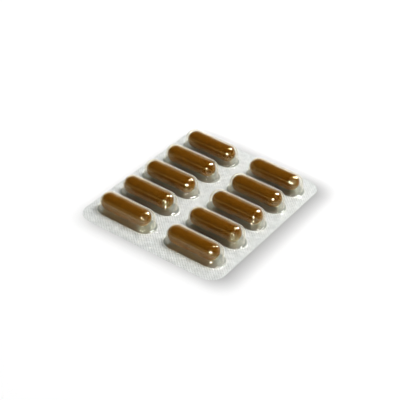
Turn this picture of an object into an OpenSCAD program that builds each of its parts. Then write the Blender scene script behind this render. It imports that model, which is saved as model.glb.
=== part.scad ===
// Push-through blister pack of ten two-piece hard capsules, two columns of five.
// X runs along the capsules, Y along the columns and Z up.
// The origin is at the middle of the foil's underside, on which the pack lies.

/* [Card] */
// Width of the card, along the capsules
card_w = 69; // [66:0.5:90]
// Length of the card, along the columns
card_l = 86; // [84:0.5:110]
// Radius of the card's four corners
card_corner_r = 7; // [3:0.5:12]
// Thickness of the lidding foil
foil_t = 0.05; // [0.03:0.01:0.2]
// Thickness of the clear film on the flat flange
film_t = 0.25; // [0.2:0.05:0.5]
// Shift of all the pockets along X from the card's middle
block_shift_x = -0.4; // [-1:0.1:1]
// Shift of all the pockets along Y from the card's middle
block_shift_y = 0.6; // [-1:0.1:1]

/* [Pockets] */
// Distance between the two columns of pockets
column_pitch = 33.8; // [33.5:0.1:36]
// Distance between the rows of pockets
row_pitch = 15.7; // [14.5:0.1:16.5]
// Room between a capsule and the crown of its pocket
pocket_side_gap = 0.35; // [0.15:0.05:0.6]
// Room between a capsule and each end of its pocket, with the capsule in the middle
pocket_end_gap = 0.9; // [0.8:0.05:1.2]
// Thickness of the film where it is drawn into a pocket
pocket_wall = 0.2; // [0.1:0.05:0.4]
// Lean of the pocket's walls, in degrees from upright
pocket_draft = 3; // [1:0.5:8]
// Radius where a pocket's wall runs out into the flange
pocket_foot_r = 0.85; // [0.4:0.05:1.2]

/* [Capsules] */
// Length of a closed capsule
capsule_l = 24.2; // [22:0.1:24.8]
// Outer diameter of the cap half
cap_d = 7.65; // [7:0.05:8.2]
// Outer length of the cap half
cap_l = 11; // [9.5:0.1:13]
// Room between the body's open rim and the dome of the cap that it slips into
rim_room = 0.375; // [0.1:0.025:2]
// Thickness of the capsule's shell
shell_t = 0.11; // [0.08:0.01:0.15]
// Room between the cap and the body that it slips over
cap_fit_gap = 0.04; // [0.02:0.01:0.08]
// Room between the powder and the shell around it
fill_gap = 0.03; // [0.01:0.01:0.1]
// Room between a capsule and the foil that it lies on
rest_gap = 0.03; // [0.01:0.01:0.2]
// Distance of the locking ring from the tip of the cap
lock_ring_at = 6.4; // [6:0.1:7]
// Width of the locking ring
lock_ring_w = 1.5; // [1:0.1:2]
// Depth of the locking ring
lock_ring_depth = 0.07; // [0.03:0.01:0.12]

/* [Hidden] */
rows = 5;
columns = 2;
capsule_count = rows * columns;
// How far each capsule has slid along its pocket, as a share of the room there:
// the left column from front to back, then the right column
slides = [-0.8, -0.75, -0.3, -0.3, -0.05, -0.8, -0.6, 0.1, -0.05, -0.75];
// Lean of the locking ring's two flanks, as a share of its width
lock_flank = 0.3;
// Straight collar round each pocket that laps the flange, as wide as the film is thick
lap = film_t;
// Reach of a cut past the face that it opens
past = 1;
$fn = 72;

cap_r = cap_d / 2;
body_r = cap_r - shell_t - cap_fit_gap;
fill_r = body_r - shell_t - fill_gap;
capsule_z = foil_t + rest_gap + cap_r;
cap_tip = -capsule_l / 2;
body_tip = capsule_l / 2;
crown_r = cap_r + pocket_side_gap;
pocket_half = capsule_l / 2 + pocket_end_gap - crown_r;
flange_top = foil_t + film_t;

clear_film = [0.86, 0.9, 0.88, 0.45];
silver_foil = [0.78, 0.79, 0.78];
clear_shell = [0.72, 0.55, 0.35, 0.5];
brown_powder = [0.45, 0.27, 0.06];

// Middle of pocket i, where 1 is at the front of the left column
function pocket_x(i) = block_shift_x + (floor((i - 1) / rows) - (columns - 1) / 2) * column_pitch;
function pocket_y(i) = block_shift_y + ((i - 1) % rows - (rows - 1) / 2) * row_pitch;
function slide_x(i) = slides[i - 1] * pocket_end_gap;

// Where the foot of a wall of crown radius r ends, on a face at height z
function foot_x(r, foot_r, z) =
    (r + foot_r + (capsule_z - z - foot_r) * sin(pocket_draft)) / cos(pocket_draft);

module card_outline() {
    for (x = [-1, 1], y = [-1, 1])
        translate([x * (card_w / 2 - card_corner_r), y * (card_l / 2 - card_corner_r)])
            circle(card_corner_r);
    square([card_w - 2 * card_corner_r, card_l], center = true);
    square([card_w, card_l - 2 * card_corner_r], center = true);
}

module slot_outline(half_length, r) {
    for (x = [-half_length, half_length])
        translate([x, 0])
            circle(r);
    square([2 * half_length, 2 * r], center = true);
}

// Half of the section under one skin of the film: a round crown about the capsule's
// axis, a leaning wall tangent to it, a hollow foot, and the flat face at height z
module under_skin(r, foot_r, z, bottom, reach) {
    a = pocket_draft;
    foot = foot_x(r, foot_r, z);
    wall_top = [r * cos(a), capsule_z + r * sin(a)];
    wall_end = [foot - foot_r * cos(a), z + foot_r - foot_r * sin(a)];
    intersection() {
        translate([0, capsule_z])
            circle(r);
        translate([0, capsule_z])
            square([r + past, r + past]);
    }
    difference() {
        polygon([[0, bottom], [foot + reach, bottom], [foot + reach, z], [foot, z],
                 wall_end, wall_top, [0, wall_top[1]]]);
        translate([foot, z + foot_r])
            circle(foot_r);
    }
}

// Half of the film's section across a pocket, out to its lap on the flange
module pocket_section() {
    difference() {
        under_skin(crown_r + pocket_wall, pocket_foot_r, flange_top, foil_t, lap);
        under_skin(crown_r, pocket_foot_r + pocket_wall, foil_t, foil_t - past, 0);
    }
}

// One formed pocket: a straight run, with half a turn of the same section at each end
module pocket() {
    rotate([90, 0, 90])
        translate([0, 0, -pocket_half])
            linear_extrude(2 * pocket_half) {
                pocket_section();
                mirror([1, 0])
                    pocket_section();
            }
    for (side = [0, 180])
        rotate(side)
            translate([pocket_half, 0])
                rotate(-90)
                    rotate_extrude(angle = 180)
                        pocket_section();
}

// Thermoformed film: the flange and its ten pockets in one piece
module blister_film() {
    hole_r = foot_x(crown_r + pocket_wall, pocket_foot_r, flange_top) + lap / 2;
    color(clear_film) {
        translate([0, 0, foil_t])
            linear_extrude(film_t)
                difference() {
                    card_outline();
                    for (i = [1:capsule_count])
                        translate([pocket_x(i), pocket_y(i)])
                            slot_outline(pocket_half, hole_r);
                }
        for (i = [1:capsule_count])
            translate([pocket_x(i), pocket_y(i)])
                pocket();
    }
}

// Flat foil, heat-sealed under the whole flange
module lidding_foil() {
    color(silver_foil)
        linear_extrude(foil_t)
            card_outline();
}

// Half section of a round-ended rod from one place to another along the capsule.
// Each end is a dome or cut off square, and the locking ring dips into its side.
module rod_section(r, from, to, dome_from, dome_to) {
    start = dome_from ? from + r : from;
    end = dome_to ? to - r : to;
    ring = cap_tip + lock_ring_at;
    flank = lock_ring_w * lock_flank;
    difference() {
        union() {
            translate([0, start])
                square([r, end - start]);
            if (dome_from)
                intersection() {
                    translate([0, start])
                        circle(r);
                    translate([0, from])
                        square([r, r]);
                }
            if (dome_to)
                intersection() {
                    translate([0, end])
                        circle(r);
                    translate([0, end])
                        square([r, r]);
                }
        }
        polygon([[r + past, ring - lock_ring_w / 2], [r, ring - lock_ring_w / 2],
                 [r - lock_ring_depth, ring - lock_ring_w / 2 + flank],
                 [r - lock_ring_depth, ring + lock_ring_w / 2 - flank],
                 [r, ring + lock_ring_w / 2], [r + past, ring + lock_ring_w / 2]]);
    }
}

// Puts a section turned about the capsule's axis into pocket i
module in_pocket(i) {
    translate([pocket_x(i) + slide_x(i), pocket_y(i), capsule_z])
        rotate([0, 90, 0])
            rotate_extrude()
                children();
}

module capsule_cap(i) {
    color(clear_shell)
        in_pocket(i)
            difference() {
                rod_section(cap_r, cap_tip, cap_tip + cap_l, true, false);
                rod_section(cap_r - shell_t, cap_tip + shell_t, cap_tip + cap_l + past, true, false);
            }
}

module capsule_body(i) {
    rim = cap_tip + cap_r + rim_room;
    color(clear_shell)
        in_pocket(i)
            difference() {
                rod_section(body_r, rim, body_tip, false, true);
                rod_section(body_r - shell_t, rim - past, body_tip - shell_t, false, true);
            }
}

module capsule_fill(i) {
    inset = shell_t + fill_gap;
    color(brown_powder)
        in_pocket(i)
            rod_section(fill_r, cap_tip + inset, body_tip - inset, true, true);
}

lidding_foil();
blister_film();
for (i = [1:capsule_count]) {
    capsule_cap(i);
    capsule_body(i);
    capsule_fill(i);
}
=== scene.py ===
"""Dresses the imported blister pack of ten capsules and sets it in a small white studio.

The pack lies foil down. X runs along the capsules, Y along the columns and Z up. Lengths
in the pack and its finishes are in millimetres, and are turned into metres where a mesh or
a node takes them.
"""

import logging
import math
from collections.abc import Callable
from dataclasses import dataclass, field
from enum import Enum

import bpy
from mathutils import Matrix, Vector


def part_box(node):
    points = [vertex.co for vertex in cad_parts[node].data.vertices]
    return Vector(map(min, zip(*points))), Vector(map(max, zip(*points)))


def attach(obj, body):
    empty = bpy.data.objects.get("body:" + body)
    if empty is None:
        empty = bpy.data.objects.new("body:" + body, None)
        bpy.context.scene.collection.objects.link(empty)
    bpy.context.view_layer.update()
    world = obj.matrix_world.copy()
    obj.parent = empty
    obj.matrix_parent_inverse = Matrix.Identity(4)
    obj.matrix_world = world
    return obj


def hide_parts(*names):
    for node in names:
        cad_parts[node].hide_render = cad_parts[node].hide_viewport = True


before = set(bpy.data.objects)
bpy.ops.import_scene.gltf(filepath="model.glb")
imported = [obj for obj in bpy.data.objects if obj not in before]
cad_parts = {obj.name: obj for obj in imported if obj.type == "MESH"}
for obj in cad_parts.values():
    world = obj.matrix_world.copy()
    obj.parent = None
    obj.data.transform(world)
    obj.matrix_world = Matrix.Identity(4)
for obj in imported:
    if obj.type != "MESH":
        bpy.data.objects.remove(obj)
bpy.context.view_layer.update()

MM = 0.001
SAME_PLACE = 1e-7
NOISE_ROUGHNESS = 0.55
BODY = "root"
log = logging.getLogger("blister_pack")

Colour = tuple[float, float, float]
WHITE: Colour = (1.0, 1.0, 1.0)


# Shader nodes


class Term:
    """A number in a material's node tree, on which Python's operators add Math nodes."""

    def __init__(self, nodes: "Nodes", socket: bpy.types.NodeSocket) -> None:
        """Wraps one output socket.

        Args:
            nodes: The node tree that the socket belongs to.
            socket: The output that carries the number.
        """
        self.nodes = nodes
        self.socket = socket

    def maths(self, operation: str, *values: "Term | float") -> "Term":
        """Adds one Math node.

        Args:
            operation: The Math node's operation.
            *values: What goes into its inputs, in order.

        Returns:
            The node's result.
        """
        node = self.nodes.add("ShaderNodeMath", {"operation": operation}, dict(enumerate(values)))
        return Term(self.nodes, node.outputs[0])

    def __add__(self, other: "Term | float") -> "Term":
        """Returns self + other."""
        return self.maths("ADD", self, other)

    def __radd__(self, other: float) -> "Term":
        """Returns other + self."""
        return self.maths("ADD", other, self)

    def __sub__(self, other: "Term | float") -> "Term":
        """Returns self - other."""
        return self.maths("SUBTRACT", self, other)

    def __rsub__(self, other: float) -> "Term":
        """Returns other - self."""
        return self.maths("SUBTRACT", other, self)

    def __mul__(self, other: "Term | float") -> "Term":
        """Returns self * other."""
        return self.maths("MULTIPLY", self, other)

    def __rmul__(self, other: float) -> "Term":
        """Returns other * self."""
        return self.maths("MULTIPLY", other, self)

    def __truediv__(self, other: "Term | float") -> "Term":
        """Returns self / other."""
        return self.maths("DIVIDE", self, other)

    def __pow__(self, other: "Term | float") -> "Term":
        """Returns self raised to other."""
        return self.maths("POWER", self, other)

    def __mod__(self, other: float) -> "Term":
        """Returns self modulo other, never negative."""
        return self.maths("FLOORED_MODULO", self, other)

    def __abs__(self) -> "Term":
        """Returns the size of self without its sign."""
        return self.maths("ABSOLUTE", self)

    def larger(self, other: "Term | float") -> "Term":
        """Returns the larger of self and other."""
        return self.maths("MAXIMUM", self, other)

    def smaller(self, other: "Term | float") -> "Term":
        """Returns the smaller of self and other."""
        return self.maths("MINIMUM", self, other)

    def sine(self) -> "Term":
        """Returns the sine of self, in radians."""
        return self.maths("SINE", self)

    def rounded(self) -> "Term":
        """Returns the whole number nearest to self."""
        return self.maths("ROUND", self)

    def root(self) -> "Term":
        """Returns the square root of self."""
        return self.maths("SQRT", self)

    def step(self, start: float, end: float) -> "Term":
        """Returns a smooth step from 0 where self is start to 1 where it is end."""
        node = self.nodes.add(
            "ShaderNodeMapRange",
            {"interpolation_type": "SMOOTHSTEP", "clamp": True},
            {"Value": self, "From Min": start, "From Max": end},
        )
        return Term(self.nodes, node.outputs["Result"])


class Nodes:
    """The node tree of a material or a world, with one method that adds any node."""

    FIRST_COLOUR = 6
    SECOND_COLOUR = 7
    MIXED_COLOUR = 2

    def __init__(self, tree: bpy.types.NodeTree) -> None:
        """Empties the tree and keeps it.

        Args:
            tree: The node tree to fill.
        """
        self.tree = tree
        tree.nodes.clear()

    def add(self, kind: str, settings: dict | None = None, inputs: dict | None = None) -> bpy.types.Node:
        """Adds a node, applies its settings, then fills its sockets.

        Args:
            kind: Blender's name of the node type.
            settings: Attributes of the node. "stops" gives a ramp's places and colours.
            inputs: Sockets by name or number, each with a value, a socket or a Term.

        Returns:
            The new node.
        """
        node = self.tree.nodes.new(kind)
        for name, value in (settings or {}).items():
            if name == "stops":
                self.set_stops(node.color_ramp.elements, value)
            else:
                setattr(node, name, value)
        for name, value in (inputs or {}).items():
            self.feed(node.inputs[name], value)
        return node

    def feed(self, socket: bpy.types.NodeSocket, value: object) -> None:
        """Links a Term or an output to a socket, or sets a plain value on it.

        Args:
            socket: The input socket.
            value: A Term, an output socket, a colour without its alpha, or a plain value.
        """
        if isinstance(value, Term):
            value = value.socket
        if isinstance(value, bpy.types.NodeSocket):
            self.tree.links.new(value, socket)
        elif isinstance(value, tuple) and len(value) == 3 and socket.type == "RGBA":
            socket.default_value = (*value, 1.0)
        else:
            socket.default_value = value

    @staticmethod
    def set_stops(elements: bpy.types.bpy_prop_collection, stops: list[tuple[float, Colour]]) -> None:
        """Gives a colour ramp its stops.

        Args:
            elements: The ramp's elements, of which there are two at first.
            stops: Place and colour of each stop, in order.
        """
        while len(elements) < len(stops):
            elements.new(1.0)
        for element, (place, colour) in zip(elements, stops):
            element.position = place
            element.color = (*colour, 1.0)

    def term(self, node: bpy.types.Node, output: str | int = 0) -> Term:
        """Wraps one output of a node as a Term."""
        return Term(self, node.outputs[output])

    def place(self) -> tuple[Term, Term, Term]:
        """Returns the three coordinates of a point of the piece, in millimetres."""
        where = self.add("ShaderNodeTexCoord")
        scaled = self.add(
            "ShaderNodeVectorMath",
            {"operation": "SCALE"},
            {0: where.outputs["Object"], "Scale": 1 / MM},
        )
        parts = self.add("ShaderNodeSeparateXYZ", None, {0: scaled.outputs[0]})
        return self.term(parts, 0), self.term(parts, 1), self.term(parts, 2)

    def noise(self, size: float, detail: float = 2.0) -> Term:
        """Adds fractal noise on the piece's own coordinates.

        Args:
            size: Size of the largest blots, in millimetres.
            detail: Number of finer layers.

        Returns:
            The noise, about 0.5 on average.
        """
        where = self.add("ShaderNodeTexCoord").outputs["Object"]
        scale = 1 / (size * MM)
        mapped = self.add("ShaderNodeMapping", None, {"Vector": where, "Scale": (scale, scale, scale)})
        blots = self.add(
            "ShaderNodeTexNoise",
            None,
            {"Vector": mapped.outputs[0], "Scale": 1.0, "Detail": detail, "Roughness": NOISE_ROUGHNESS},
        )
        return self.term(blots, "Fac")

    def blend(self, share: Term, first: object, second: object) -> bpy.types.NodeSocket:
        """Mixes two colours.

        Args:
            share: From 0, which gives the first colour, to 1, which gives the second.
            first: A colour, or an output that carries one.
            second: Another.

        Returns:
            The mixed colour.
        """
        colours = {self.FIRST_COLOUR: first, self.SECOND_COLOUR: second}
        mix = self.add("ShaderNodeMix", {"data_type": "RGBA"}, {"Factor": share, **colours})
        return mix.outputs[self.MIXED_COLOUR]

    def mix(self, share: Term | float, first: bpy.types.Node, second: bpy.types.Node) -> bpy.types.Node:
        """Mixes two shaders.

        Args:
            share: From 0, which gives the first shader, to 1, which gives the second.
            first: A shader's node.
            second: Another.

        Returns:
            The node of the mixed shader.
        """
        shaders = {1: first.outputs[0], 2: second.outputs[0]}
        return self.add("ShaderNodeMixShader", None, {0: share, **shaders})

    def bump(self, height: Term, distance: float, normal: object = None) -> bpy.types.NodeSocket:
        """Turns a height into a normal.

        Args:
            height: The height, in any unit.
            distance: What a height of 1 stands for, in millimetres.
            normal: A normal to build on, if there is one.

        Returns:
            The bumped normal.
        """
        inputs = {"Height": height, "Distance": distance * MM, "Strength": 1.0}
        if normal is not None:
            inputs["Normal"] = normal
        return self.add("ShaderNodeBump", None, inputs).outputs[0]

    def output(self, shader: bpy.types.Node, kind: str = "ShaderNodeOutputMaterial") -> None:
        """Ends the tree in an output node."""
        self.add(kind, None, {"Surface": shader.outputs[0]})


def new_material(name: str) -> tuple[bpy.types.Material, Nodes]:
    """Makes an empty material.

    Args:
        name: The material's name.

    Returns:
        The material, and its node tree to fill.
    """
    material = bpy.data.materials.new(name)
    material.use_nodes = True
    return material, Nodes(material.node_tree)


# Finishes


@dataclass(frozen=True)
class Slots:
    """Where the pockets stand on the card, for the film's shape and the finishes round it.

    All lengths are in millimetres, as in the part's source.
    """

    column_pitch: float = 33.8
    row_pitch: float = 15.7
    shift_x: float = -0.4
    shift_y: float = 0.6
    rows: int = 5
    spine_half: float = 8.825

    def centres(self) -> list[tuple[float, float]]:
        """Returns the middle of each pocket, the left column from the front first."""
        return [
            (
                self.shift_x + side * self.column_pitch / 2,
                self.shift_y + (row - (self.rows - 1) / 2) * self.row_pitch,
            )
            for side in (-1, 1)
            for row in range(self.rows)
        ]

    def reach(self, nodes: Nodes) -> Term:
        """Returns each point's distance from the spine of the nearest pocket.

        Args:
            nodes: The node tree to build in.

        Returns:
            The distance in millimetres, measured in plan.
        """
        _, y, _ = nodes.place()
        last = (self.rows - 1) / 2
        row = ((y - self.shift_y) / self.row_pitch).rounded().larger(-last).smaller(last)
        across = y - self.shift_y - row * self.row_pitch
        past_spine = (self.along(nodes) - self.spine_half).larger(0.0)
        return (across * across + past_spine * past_spine).root()

    def along(self, nodes: Nodes) -> Term:
        """Returns each point's distance along X from the middle of the nearest column."""
        x, _, _ = nodes.place()
        return abs(abs(x - self.shift_x) - self.column_pitch / 2)


@dataclass(frozen=True)
class PowderFinish:
    """Packed brown herb powder, with fine grains of several browns.

    Sizes and depths are in millimetres.
    """

    name: str
    dark: Colour = (0.240, 0.081, 0.0038)
    middle: Colour = (0.278, 0.100, 0.0050)
    light: Colour = (0.318, 0.123, 0.0075)
    stops: tuple[float, float, float] = (0.30, 0.50, 0.72)
    clump: float = 3.5
    clump_share: float = 0.35
    grain: float = 0.2
    pit: float = 0.22
    roughness: float = 0.82
    pit_gloss: float = 0.1
    pit_depth: float = 0.03
    specular: float = 0.15

    def tone(self, nodes: Nodes) -> bpy.types.NodeSocket:
        """Returns the powder's colour at each point of a piece."""
        clumps, grains = nodes.noise(self.clump), nodes.noise(self.grain)
        ramp = nodes.add(
            "ShaderNodeValToRGB",
            {"stops": list(zip(self.stops, (self.dark, self.middle, self.light)))},
            {"Fac": clumps * self.clump_share + grains * (1 - self.clump_share)},
        )
        return ramp.outputs["Color"]

    def make(self) -> bpy.types.Material:
        """Returns the finish as a material."""
        material, nodes = new_material(self.name)
        pits = nodes.noise(self.pit)
        powder = nodes.add(
            "ShaderNodeBsdfPrincipled",
            None,
            {
                "Base Color": self.tone(nodes),
                "Roughness": self.roughness - pits * self.pit_gloss,
                "Specular IOR Level": self.specular,
                "Normal": nodes.bump(pits, self.pit_depth),
            },
        )
        nodes.output(powder)
        return material


@dataclass(frozen=True)
class FilmFinish:
    """Clear formed film that mirrors by its angle on both faces and lets the rest through.

    The end walls of the pockets carry fine level rings, which spread a lamp's mirror image
    into an upright streak. The film wrinkles round each pocket's foot, and where it is seen
    at a grazing angle it looks milky. Lengths are in millimetres.
    """

    name: str
    slots: Slots
    tint: Colour = (0.985, 0.99, 0.985)
    edge: Colour = (0.96, 0.92, 0.82)
    flange_sheen: Colour = (0.97, 0.97, 0.97)
    pocket_sheen: Colour = (0.98, 0.91, 0.66)
    flange_high: float = 0.35
    pocket_low: float = 0.8
    ior: float = 1.58
    mirror_power: float = 1.25
    grazing_start: float = 0.08
    rim_start: float = 0.10
    grazing_end: float = 0.35
    rim_share: float = 0.45
    roughness: float = 0.05
    grain: float = 1.8
    grain_depth: float = 0.004
    ring_pitch: float = 0.3
    ring_slope: float = 0.62
    ring_low: float = 0.7
    ring_high: float = 4.6
    low_fade: float = 0.3
    high_fade: float = 0.6
    wrinkle: float = 1.3
    wrinkle_depth: float = 0.3
    foot_reach: float = 5.4
    foot_inner: float = 0.3
    foot_outer: float = 1.1

    def formed(self, nodes: Nodes) -> bpy.types.NodeSocket:
        """Adds the rings, the wrinkles and the fine ripple of the formed film.

        Args:
            nodes: The node tree to build in.

        Returns:
            The film's bumped normal.
        """
        _, _, z = nodes.place()
        spine_half = self.slots.spine_half
        on_end = self.slots.along(nodes).step(spine_half, spine_half + self.high_fade)
        above = z.step(self.ring_low - self.low_fade, self.ring_low)
        below = 1 - z.step(self.ring_high - self.high_fade, self.ring_high)
        on_wall = on_end * above * below
        rings = (z * (math.tau / self.ring_pitch)).sine() * on_wall
        ringed = nodes.bump(rings, self.ring_slope * self.ring_pitch / math.tau)
        off_foot = abs(self.slots.reach(nodes) - self.foot_reach)
        near_foot = 1 - off_foot.step(self.foot_inner, self.foot_outer)
        folds = nodes.noise(self.wrinkle, 1.0) * near_foot * (1 - on_wall)
        folded = nodes.bump(folds, self.wrinkle_depth, ringed)
        return nodes.bump(nodes.noise(self.grain), self.grain_depth, folded)

    def make(self) -> bpy.types.Material:
        """Returns the finish as a material."""
        material, nodes = new_material(self.name)
        normal = self.formed(nodes)
        front = nodes.term(nodes.add("ShaderNodeFresnel", None, {"IOR": self.ior, "Normal": normal}))
        behind = nodes.term(nodes.add("ShaderNodeNewGeometry"), "Backfacing")
        # A thin sheet mirrors on its front and its back, and between them
        both_faces = front**self.mirror_power * 2 / (1 + front)
        milky = front.step(self.rim_start, self.grazing_end) * self.rim_share
        share = both_faces + (1 - both_faces) * milky
        _, _, z = nodes.place()
        on_pocket = z.step(self.flange_high, self.pocket_low)
        clear = nodes.add("ShaderNodeBsdfTransparent", None, {"Color": self.tint})
        gloss = nodes.add(
            "ShaderNodeBsdfPrincipled",
            None,
            {
                "Base Color": nodes.blend(on_pocket, self.flange_sheen, self.pocket_sheen),
                "Metallic": 1.0,
                "Roughness": self.roughness,
                "Normal": normal,
            },
        )
        edge = nodes.add("ShaderNodeBsdfDiffuse", None, {"Color": self.edge})
        skin = nodes.mix(front.step(self.grazing_start, self.grazing_end), gloss, edge)
        # The face that is turned away stays clear, so that the sheet mirrors once
        nodes.output(nodes.mix(share * (1 - behind), clear, skin))
        return material


@dataclass(frozen=True)
class ShellFinish:
    """Clear gelatin, dusted brown on the inside by the powder that it holds.

    The dust covers a fixed share of the shell. Lengths are in millimetres.
    """

    name: str
    powder: PowderFinish
    dust: float = 0.7
    dust_roughness: float = 0.8
    tint: Colour = (0.99, 0.97, 0.94)
    sheen: Colour = (0.97, 0.86, 0.54)
    ior: float = 1.54
    roughness: float = 0.08
    grain: float = 1.2
    grain_depth: float = 0.003

    def make(self) -> bpy.types.Material:
        """Returns the finish as a material."""
        material, nodes = new_material(self.name)
        ripple = nodes.bump(nodes.noise(self.grain), self.grain_depth)
        mirror = nodes.term(nodes.add("ShaderNodeFresnel", None, {"IOR": self.ior, "Normal": ripple}))
        behind = nodes.term(nodes.add("ShaderNodeNewGeometry"), "Backfacing")
        clear = nodes.add("ShaderNodeBsdfTransparent", None, {"Color": self.tint})
        dusty = nodes.add(
            "ShaderNodeBsdfPrincipled",
            None,
            {
                "Base Color": self.powder.tone(nodes),
                "Roughness": self.dust_roughness,
                "Specular IOR Level": 0.0,
            },
        )
        gelatin = nodes.mix(self.dust, clear, dusty)
        gloss = nodes.add(
            "ShaderNodeBsdfPrincipled",
            None,
            {
                "Base Color": self.sheen,
                "Metallic": 1.0,
                "Roughness": self.roughness,
                "Normal": ripple,
            },
        )
        nodes.output(nodes.mix(mirror * (1 - behind), gelatin, gloss))
        return material


@dataclass(frozen=True)
class FoilFinish:
    """Lidding foil: knurled and milky where it is sealed, smooth and grey in the pockets.

    A painted highlight, a pale line, runs along the edge of the seal. Lengths are in millimetres.
    """

    name: str
    slots: Slots
    knurl_pitch: float
    knurl_depth: float = 0.22
    seal_reach: float = 5.45
    seal_fade: float = 0.15
    highlight_inner: float = 0.05
    highlight_outer: float = 0.22
    sealed: Colour = (0.92, 0.93, 0.935)
    blotted: Colour = (0.73, 0.745, 0.745)
    free: Colour = (0.42, 0.45, 0.42)
    seal_edge_highlight: Colour = (0.99, 0.98, 0.92)
    sealed_roughness: float = 0.5
    free_roughness: float = 0.26
    sealed_metal: float = 0.02
    free_metal: float = 0.9
    specular: float = 0.15
    blot: float = 2.6
    blot_share: float = 0.7
    blot_start: float = 0.32
    blot_end: float = 0.68
    speck: float = 0.35
    speck_roughness: float = 0.08
    wave: float = 4.5
    wave_depth: float = 0.02

    def make(self) -> bpy.types.Material:
        """Returns the finish as a material."""
        material, nodes = new_material(self.name)
        reach = self.slots.reach(nodes)
        seal = reach.step(self.seal_reach - self.seal_fade, self.seal_reach + self.seal_fade)
        x, y, _ = nodes.place()
        run = self.knurl_pitch * math.sqrt(2)
        rising, falling = ((x + y) / run) % 1.0, ((x - y) / run) % 1.0
        cell = abs(rising - 0.5).larger(abs(falling - 0.5)) * 2
        speck = nodes.noise(self.speck)
        blots = nodes.noise(self.blot, 3.0) * self.blot_share + speck * (1 - self.blot_share)
        tone = nodes.blend(blots.step(self.blot_start, self.blot_end), self.sealed, self.blotted)
        # Painted highlight: a pale line along the edge of the seal, where light gathers at the pocket's
        # foot
        line = 1 - abs(reach - self.seal_reach).step(self.highlight_inner, self.highlight_outer)
        colour = nodes.blend(line, nodes.blend(seal, self.free, tone), self.seal_edge_highlight)
        roughness = self.free_roughness + seal * (self.sealed_roughness - self.free_roughness)
        waves = nodes.bump(nodes.noise(self.wave, 1.0), self.wave_depth)
        foil = nodes.add(
            "ShaderNodeBsdfPrincipled",
            None,
            {
                "Base Color": colour,
                "Metallic": self.free_metal - seal * (self.free_metal - self.sealed_metal),
                "Roughness": roughness + speck * self.speck_roughness,
                "Specular IOR Level": self.specular,
                "Normal": nodes.bump(cell * seal, self.knurl_depth, waves),
            },
        )
        nodes.output(foil)
        return material


# Mesh work in edit mode


class Bench:
    """Small steps of modelling by hand: pick, edit, cut and join."""

    @staticmethod
    def only(piece: bpy.types.Object) -> None:
        """Leaves one object selected and active, in object mode."""
        if bpy.context.object and bpy.context.object.mode != "OBJECT":
            bpy.ops.object.mode_set(mode="OBJECT")
        bpy.ops.object.select_all(action="DESELECT")
        piece.select_set(True)
        bpy.context.view_layer.objects.active = piece

    @classmethod
    def edit(cls, piece: bpy.types.Object, kind: str = "VERT") -> None:
        """Opens an object in edit mode, with nothing picked.

        Args:
            piece: The mesh object.
            kind: VERT, EDGE or FACE, which is what gets picked.
        """
        cls.only(piece)
        bpy.ops.object.mode_set(mode="EDIT")
        bpy.ops.mesh.select_mode(type=kind)
        bpy.ops.mesh.select_all(action="DESELECT")

    @classmethod
    def pick(cls, piece: bpy.types.Object, kind: str, wanted: Callable[[list[Vector]], bool]) -> None:
        """Picks what a test wants, and stays in edit mode.

        Args:
            piece: The mesh object.
            kind: VERT, EDGE or FACE.
            wanted: A test of the corners of each one, of which a VERT has one.
        """
        cls.edit(piece, kind)
        bpy.ops.object.mode_set(mode="OBJECT")
        mesh = piece.data
        parts = {"VERT": mesh.vertices, "EDGE": mesh.edges, "FACE": mesh.polygons}[kind]
        for part in parts:
            ends = [part.index] if kind == "VERT" else part.vertices
            part.select = wanted([mesh.vertices[i].co for i in ends])
        bpy.ops.object.mode_set(mode="EDIT")

    @classmethod
    def cut(cls, piece: bpy.types.Object, tool: bpy.types.Object, operation: str) -> None:
        """Applies a boolean with another closed solid, then removes that solid.

        Args:
            piece: The solid that is changed.
            tool: The other solid.
            operation: UNION, DIFFERENCE or INTERSECT.
        """
        cls.only(piece)
        boolean = piece.modifiers.new("cut", "BOOLEAN")
        boolean.operation = operation
        boolean.solver = "MANIFOLD"
        boolean.object = tool
        bpy.ops.object.modifier_apply(modifier=boolean.name)
        bpy.data.objects.remove(tool)

    @classmethod
    def set_down(cls, piece: bpy.types.Object) -> None:
        """Moves an object's place, turn and size into its mesh."""
        cls.only(piece)
        bpy.ops.object.transform_apply(location=True, rotation=True, scale=True)

    @classmethod
    def copies(cls, piece: bpy.types.Object, centres: list[tuple[float, float]]) -> bpy.types.Object:
        """Copies a piece to each place, and joins the copies into one mesh.

        Args:
            piece: The piece, modelled about the origin.
            centres: The places, in millimetres.

        Returns:
            The joined object.
        """
        made = []
        for x, y in centres:
            copy = piece.copy()
            copy.data = piece.data.copy()
            copy.location = (x * MM, y * MM, 0)
            bpy.context.collection.objects.link(copy)
            cls.set_down(copy)
            made.append(copy)
        bpy.data.objects.remove(piece)
        cls.only(made[0])
        for copy in made:
            copy.select_set(True)
        bpy.ops.object.join()
        return made[0]


# The pack's pieces


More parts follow.
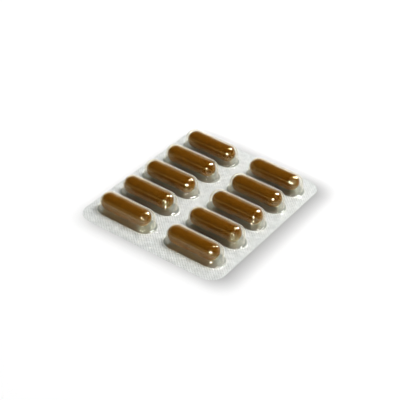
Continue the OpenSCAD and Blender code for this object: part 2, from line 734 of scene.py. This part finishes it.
@dataclass
class Pocket:
    """One formed pocket of the film, and the straight cutter that opens the flange for it.

    Lengths are in millimetres. The crown's radius and the axis height come from the frame.
    """

    axis_z: float
    crown_r: float
    flange_top: float
    spine_half: float
    wall: float = 0.2
    draft: float = 3.0
    foot_r: float = 0.85
    lap: float = 0.25
    overlap: float = 0.3
    segments: int = 64
    rings: int = 32
    foot_steps: int = 9
    cutter_high: float = 4.0

    def foot(self) -> float:
        """Returns the distance from the spine at which the foot meets the flange."""
        lean = math.radians(self.draft)
        rise = self.axis_z - self.flange_top - self.foot_r
        return (self.crown_r + self.foot_r + rise * math.sin(lean)) / math.cos(lean)

    def profile(self) -> list[tuple[float, float]]:
        """Works out the section below the crown, down the wall, the foot and the lap.

        Returns:
            Distance from the spine and height of each point.
        """
        lean = math.radians(self.draft)
        foot = self.foot()
        line = []
        for step in range(self.foot_steps + 1):
            turn = math.pi + lean + (math.pi / 2 - lean) * step / self.foot_steps
            line.append(
                (
                    foot + self.foot_r * math.cos(turn),
                    self.flange_top + self.foot_r + self.foot_r * math.sin(turn),
                )
            )
        return line + [(foot + self.lap + self.overlap, self.flange_top)]

    def build(self) -> bpy.types.Object:
        """Models the pocket's wall about the origin as a closed solid.

        Returns:
            The pocket, with its place along the card still to come.
        """
        lean = math.radians(self.draft)
        seam_z = (self.axis_z + self.crown_r * math.sin(lean)) * MM
        bpy.ops.object.select_all(action="DESELECT")
        bpy.ops.mesh.primitive_uv_sphere_add(
            segments=self.segments,
            ring_count=self.rings,
            radius=self.crown_r * MM,
            location=(0, 0, self.axis_z * MM),
        )
        shell = bpy.context.object
        shell.name = "pocket"
        Bench.set_down(shell)
        # Only the crown stays, down to where the leaning wall touches it
        Bench.edit(shell)
        bpy.ops.mesh.select_all(action="SELECT")
        bpy.ops.mesh.bisect(
            plane_co=(0, 0, seam_z), plane_no=(0, 0, 1), clear_inner=True, clear_outer=False
        )
        Bench.pick(shell, "EDGE", lambda ends: all(abs(v.z - seam_z) < SAME_PLACE for v in ends))
        # The crown's rim is drawn down the wall, round the foot and out over the lap
        here = (self.crown_r * math.cos(lean), seam_z / MM)
        for there in self.profile():
            bpy.ops.mesh.extrude_region_move(
                TRANSFORM_OT_translate={"value": (0, 0, (there[1] - here[1]) * MM)}
            )
            spread = there[0] / here[0]
            bpy.ops.transform.resize(value=(spread, spread, 1), center_override=(0, 0, 0))
            here = there
        self.stretch(shell)
        Bench.only(shell)
        thick = shell.modifiers.new("wall", "SOLIDIFY")
        thick.thickness = self.wall * MM
        thick.offset = -1
        thick.use_even_offset = True
        bpy.ops.object.modifier_apply(modifier=thick.name)
        return shell

    def stretch(self, shell: bpy.types.Object) -> None:
        """Parts the round shell in the middle and bridges the halves with a straight run.

        Args:
            shell: The round shell, open below.
        """
        half = self.spine_half * MM
        Bench.pick(shell, "FACE", lambda corners: sum(v.x for v in corners) > 0)
        bpy.ops.mesh.split()
        bpy.ops.transform.translate(value=(half, 0, 0))
        bpy.ops.mesh.select_all(action="INVERT")
        bpy.ops.transform.translate(value=(-half, 0, 0))
        Bench.pick(shell, "EDGE", lambda ends: all(abs(abs(v.x) - half) < SAME_PLACE for v in ends))
        bpy.ops.mesh.bridge_edge_loops()
        bpy.ops.mesh.select_all(action="SELECT")
        bpy.ops.mesh.remove_doubles(threshold=SAME_PLACE)
        bpy.ops.mesh.normals_make_consistent(inside=False)
        bpy.ops.object.mode_set(mode="OBJECT")

    def cutter(self) -> bpy.types.Object:
        """Models a tall solid of the pocket's outline, which opens the flange.

        Returns:
            The solid, about the origin.
        """
        bpy.ops.object.select_all(action="DESELECT")
        bpy.ops.mesh.primitive_cylinder_add(
            vertices=self.segments, radius=(self.foot() + self.lap) * MM, depth=self.cutter_high * MM
        )
        tool = bpy.context.object
        tool.name = "pocket_cutter"
        for side in (-1, 1):
            Bench.pick(tool, "VERT", lambda ends, side=side: ends[0].x * side > SAME_PLACE)
            bpy.ops.transform.translate(value=(side * self.spine_half * MM, 0, 0))
        bpy.ops.object.mode_set(mode="OBJECT")
        return tool


@dataclass
class BlisterFilm:
    """The formed clear film: a flange knurled by the heat seal, and ten smooth pockets."""

    slots: Slots
    finish: FilmFinish
    knurl_pitch: float
    thickness: float = 0.25
    knurl_depth: float = 0.09
    corner_r: float = 7.0
    corner_steps: int = 14
    seal_gap: float = 0.005
    clear_of_lap: float = 0.002
    spare_cells: int = 4
    block_high: float = 4.0
    flat_angle: float = 13.0
    size: Vector = field(init=False)
    bottom: float = field(init=False)
    pocket: Pocket = field(init=False)

    def __post_init__(self) -> None:
        """Takes the card's size and the pocket's heights from the frame."""
        foil_low, foil_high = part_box("lidding_foil")
        _, film_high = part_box("blister_film")
        cap_low, cap_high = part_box("capsule_1_cap")
        self.size = (foil_high - foil_low) / MM
        self.bottom = foil_high.z / MM
        axis_z = (cap_low.z + cap_high.z) / 2 / MM
        self.pocket = Pocket(
            axis_z, film_high.z / MM - axis_z, self.bottom + self.thickness, self.slots.spine_half
        )

    def knurled_slab(self) -> bpy.types.Object:
        """Models a square slab turned by 45 degrees, with a dimple in each cell of its top.

        Returns:
            The slab, larger than the card.
        """
        reach = (self.size.x + self.size.y) / math.sqrt(2) + self.spare_cells * self.knurl_pitch
        cells = math.ceil(reach / self.knurl_pitch)
        top = self.pocket.flange_top - self.clear_of_lap
        depth = 2 * self.pocket.flange_top
        bpy.ops.object.select_all(action="DESELECT")
        bpy.ops.mesh.primitive_grid_add(
            x_subdivisions=cells,
            y_subdivisions=cells,
            size=cells * self.knurl_pitch * MM,
            location=(0, 0, top * MM),
            rotation=(0, 0, math.pi / 4),
        )
        slab = bpy.context.object
        slab.name = "blister_film_dressed"
        Bench.set_down(slab)
        Bench.edit(slab, "FACE")
        bpy.ops.mesh.select_all(action="SELECT")
        bpy.ops.mesh.poke(offset=-self.knurl_depth * MM)
        bpy.ops.mesh.extrude_region_move(TRANSFORM_OT_translate={"value": (0, 0, -depth * MM)})
        bpy.ops.mesh.select_all(action="SELECT")
        bpy.ops.mesh.normals_make_consistent(inside=False)
        bpy.ops.object.mode_set(mode="OBJECT")
        return slab

    def card_block(self) -> bpy.types.Object:
        """Models a block of the card's outline, whose base cuts the film flat below.

        Returns:
            The block, in place.
        """
        low = self.bottom + self.seal_gap
        bpy.ops.object.select_all(action="DESELECT")
        bpy.ops.mesh.primitive_cube_add(
            size=1,
            scale=(self.size.x * MM, self.size.y * MM, self.block_high * MM),
            location=(0, 0, (low + self.block_high / 2) * MM),
        )
        block = bpy.context.object
        block.name = "card_block"
        Bench.set_down(block)
        Bench.pick(block, "EDGE", lambda ends: abs(ends[0].z - ends[1].z) > SAME_PLACE)
        bpy.ops.mesh.bevel(offset=self.corner_r * MM, segments=self.corner_steps, affect="EDGES")
        bpy.ops.object.mode_set(mode="OBJECT")
        return block

    def build(self) -> bpy.types.Object:
        """Models the whole film in one mesh, in place of the frame's film.

        Returns:
            The film.
        """
        film = self.knurled_slab()
        Bench.cut(film, self.card_block(), "INTERSECT")
        Bench.cut(film, Bench.copies(self.pocket.cutter(), self.slots.centres()), "DIFFERENCE")
        Bench.cut(film, Bench.copies(self.pocket.build(), self.slots.centres()), "UNION")
        Bench.only(film)
        bpy.ops.object.shade_smooth_by_angle(angle=math.radians(self.flat_angle))
        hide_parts("blister_film")
        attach(film, BODY)
        return film

    def dress(self, film: bpy.types.Object) -> None:
        """Gives the film its finish."""
        film.data.materials.clear()
        film.data.materials.append(self.finish.make())


def dress_node(name: str, material: bpy.types.Material) -> None:
    """Gives a frame node a material on its object's own slots.

    Args:
        name: The node's name.
        material: What it is dressed in.

    Raises:
        ValueError: If the node has no slot to put the material on.
    """
    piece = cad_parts[name]
    if not piece.material_slots:
        raise ValueError(f"{name} has no material slot")
    for place in piece.material_slots:
        place.link = "OBJECT"
        place.material = material


@dataclass
class LiddingFoil:
    """The foil under the film, which keeps the frame's own mesh."""

    finish: FoilFinish

    def dress(self) -> None:
        """Gives the foil its finish."""
        dress_node("lidding_foil", self.finish.make())


@dataclass
class Capsules:
    """Ten filled capsules, which keep the frame's own meshes."""

    shell: ShellFinish
    powder: PowderFinish
    count: int = 10

    def dress(self) -> None:
        """Gives every shell half and every fill its finish."""
        shell, powder = self.shell.make(), self.powder.make()
        for number in range(1, self.count + 1):
            dress_node(f"capsule_{number}_cap", shell)
            dress_node(f"capsule_{number}_body", shell)
            dress_node(f"capsule_{number}_fill", powder)


# The studio


def towards(azimuth: float, elevation: float) -> Vector:
    """Works out the way to a place seen from the pack.

    Args:
        azimuth: Degrees round from -Y towards +X.
        elevation: Degrees above the floor.

    Returns:
        The unit vector to the place.
    """
    a, e = math.radians(azimuth), math.radians(elevation)
    return Vector((math.sin(a) * math.cos(e), -math.cos(a) * math.cos(e), math.sin(e)))


class Glint(Enum):
    """Whether a lamp lights the pack, or only shows in its polished surfaces."""

    HIDDEN = "lights only"
    ONLY = "shows only"


@dataclass(frozen=True)
class Lamp:
    """A round soft lamp that looks at the pack. Its level is the white that it gives alone.

    Distance and radius are in metres, and angles in degrees.
    """

    name: str
    azimuth: float
    elevation: float
    distance: float
    radius: float
    level: float
    glint: Glint

    def add(self) -> None:
        """Adds the lamp to the scene."""
        data = bpy.data.lights.new(self.name, "AREA")
        data.shape = "DISK"
        data.size = 2 * self.radius
        # At this power a white sheet that faces the lamp shines back at its level
        data.energy = self.level * math.pi**2 * self.distance**2
        lamp = bpy.data.objects.new(self.name, data)
        bpy.context.collection.objects.link(lamp)
        aim = towards(self.azimuth, self.elevation)
        lamp.location = aim * self.distance
        lamp.rotation_euler = aim.to_track_quat("Z", "Y").to_euler()
        lamp.visible_glossy = self.glint is not Glint.HIDDEN
        lamp.visible_diffuse = self.glint is not Glint.ONLY


@dataclass
class Studio:
    """White floor, dim room with a pale skyline, lamps and the camera of the photograph.

    The card and the floor's painted shadow are in millimetres, the camera's place and the floor in
    metres, and angles in degrees. A pair in the room's values is where a fade starts and ends.
    """

    lamps: tuple[Lamp, ...]
    card: Vector
    azimuth: float = 30.32
    elevation: float = 36.11
    roll: float = 6.36
    distance: float = 0.50177
    aim: Vector = field(default_factory=lambda: Vector((-0.00115, -0.00066, 0)))
    floor_size: float = 3.0
    shade_shift: float = 4.0
    shade_grow: float = 0.6
    shade_blur: float = 9.0
    shade_depth: float = 0.66
    paper: Colour = (0.9, 0.9, 0.9)
    paper_glow: float = 0.22
    front_glow: float = 0.5
    front_tint: Colour = (1.0, 0.80, 0.38)
    front_top: tuple[float, float] = (0.36, 0.50)
    back_glow: float = 0.45
    low_glow: float = 2.2
    back_low: tuple[float, float] = (0.05, 0.5)
    back_top: tuple[float, float] = (0.60, 0.76)
    turn_to_back: tuple[float, float] = (0.2, 0.7)
    focal_pixels: float = 1178.98
    image_pixels: float = 400.0
    sensor: float = 36.0
    sheets_seen_through: int = 32

    def camera(self) -> None:
        """Adds the camera where the photograph was taken from."""
        data = bpy.data.cameras.new("camera")
        data.sensor_width = self.sensor
        data.lens = self.focal_pixels / self.image_pixels * self.sensor
        data.clip_start, data.clip_end = 0.01, 20
        camera = bpy.data.objects.new("camera", data)
        bpy.context.collection.objects.link(camera)
        back = towards(self.azimuth, self.elevation)
        level = Vector((0, 0, 1)).cross(back).normalized()
        upright = back.cross(level)
        turn = math.radians(self.roll)
        right = level * math.cos(turn) + upright * math.sin(turn)
        up = upright * math.cos(turn) - level * math.sin(turn)
        pose = Matrix((right, up, back)).transposed().to_4x4()
        pose.translation = self.aim + back * self.distance
        camera.matrix_world = pose
        bpy.context.scene.camera = camera

    def floor(self) -> None:
        """Adds the white floor, with a soft shadow painted round the pack and shifted towards +X, over
        the pack's own shadow.
        """
        bpy.ops.object.select_all(action="DESELECT")
        bpy.ops.mesh.primitive_plane_add(size=self.floor_size)
        floor = bpy.context.object
        floor.name = "floor"
        material, nodes = new_material("white_paper")
        rays = nodes.add("ShaderNodeLightPath")
        seen = nodes.term(rays, "Is Camera Ray").larger(nodes.term(rays, "Is Glossy Ray"))
        seen = seen.larger(nodes.term(rays, "Is Transmission Ray"))
        x, y, _ = nodes.place()
        # Painted shadow: the floor darkens round the card, shifted towards +X and blurred
        beyond_x = abs(x - self.shade_shift) - self.card.x / 2 - self.shade_grow
        beyond_y = abs(y) - self.card.y / 2 - self.shade_grow
        blur = self.shade_blur
        shade = (1 - beyond_x.step(-blur, blur)) * (1 - beyond_y.step(-blur, blur))
        lit = 1 - shade * self.shade_depth
        tone = nodes.add("ShaderNodeVectorMath", {"operation": "SCALE"}, {0: self.paper, "Scale": lit})
        paper = nodes.add("ShaderNodeBsdfDiffuse", None, {"Color": tone.outputs[0]})
        glow = nodes.add(
            "ShaderNodeEmission", None, {"Color": WHITE, "Strength": seen * lit * self.paper_glow}
        )
        both = nodes.add("ShaderNodeAddShader", None, {0: paper.outputs[0], 1: glow.outputs[0]})
        nodes.output(both)
        floor.data.materials.append(material)

    def room(self) -> None:
        """Makes the world: white to the camera, and otherwise dark above a pale skyline."""
        world = bpy.data.worlds.new("room")
        bpy.context.scene.world = world
        world.use_nodes = True
        nodes = Nodes(world.node_tree)
        where = nodes.add("ShaderNodeTexCoord")
        parts = nodes.add("ShaderNodeSeparateXYZ", None, {0: where.outputs["Generated"]})
        depth, height = nodes.term(parts, 1), nodes.term(parts, 2)
        behind = depth.step(*self.turn_to_back)
        front = self.front_glow * (1 - height.step(*self.front_top))
        back_tone = self.low_glow + height.step(*self.back_low) * (self.back_glow - self.low_glow)
        back = back_tone * (1 - height.step(*self.back_top))
        skyline = front + behind * (back - front)
        rays = nodes.add("ShaderNodeLightPath")
        direct = nodes.term(rays, "Is Camera Ray")
        mirrored = nodes.term(rays, "Is Glossy Ray")
        tint = nodes.blend(behind.larger(1 - mirrored), self.front_tint, WHITE)
        strength = direct + skyline * (1 - direct)
        sky = nodes.add("ShaderNodeBackground", None, {"Color": tint, "Strength": strength})
        nodes.output(sky, "ShaderNodeOutputWorld")

    def build(self) -> None:
        """Sets up the floor, the room, the lamps and the camera."""
        self.floor()
        self.room()
        for lamp in self.lamps:
            lamp.add()
        self.camera()
        scene = bpy.context.scene
        scene.view_settings.view_transform = "Standard"
        scene.cycles.transparent_max_bounces = self.sheets_seen_through


KNURL_PITCH = 1.0

SLOTS = Slots()
FILM_FINISH = FilmFinish("clear_film", SLOTS)
POWDER_FINISH = PowderFinish("brown_powder")
SHELL_FINISH = ShellFinish("dusted_gelatin", POWDER_FINISH)

LAMPS = (
    Lamp("key", 150.0, 63.0, 0.9, 0.24, 0.80, Glint.HIDDEN),
    Lamp("key_glint", 150.0, 61.0, 0.5, 0.09, 2.3, Glint.ONLY),
    Lamp("front_glint", 15.0, 25.0, 0.5, 0.045, 3.9, Glint.ONLY),
    Lamp("soft", -30.0, 75.0, 0.9, 0.45, 0.17, Glint.HIDDEN),
)


def main() -> None:
    """Builds and dresses the pack, then the studio."""
    film = BlisterFilm(SLOTS, FILM_FINISH, KNURL_PITCH)
    shape = film.build()
    film.dress(shape)
    log.info("film: %d faces", len(shape.data.polygons))
    LiddingFoil(FoilFinish("lidding_foil", SLOTS, KNURL_PITCH)).dress()
    log.info("foil dressed")
    Capsules(SHELL_FINISH, POWDER_FINISH).dress()
    log.info("capsules dressed")
    Studio(LAMPS, film.size).build()
    log.info("studio ready")


if __name__ == "__main__":
    logging.basicConfig(level=logging.INFO)
    main()
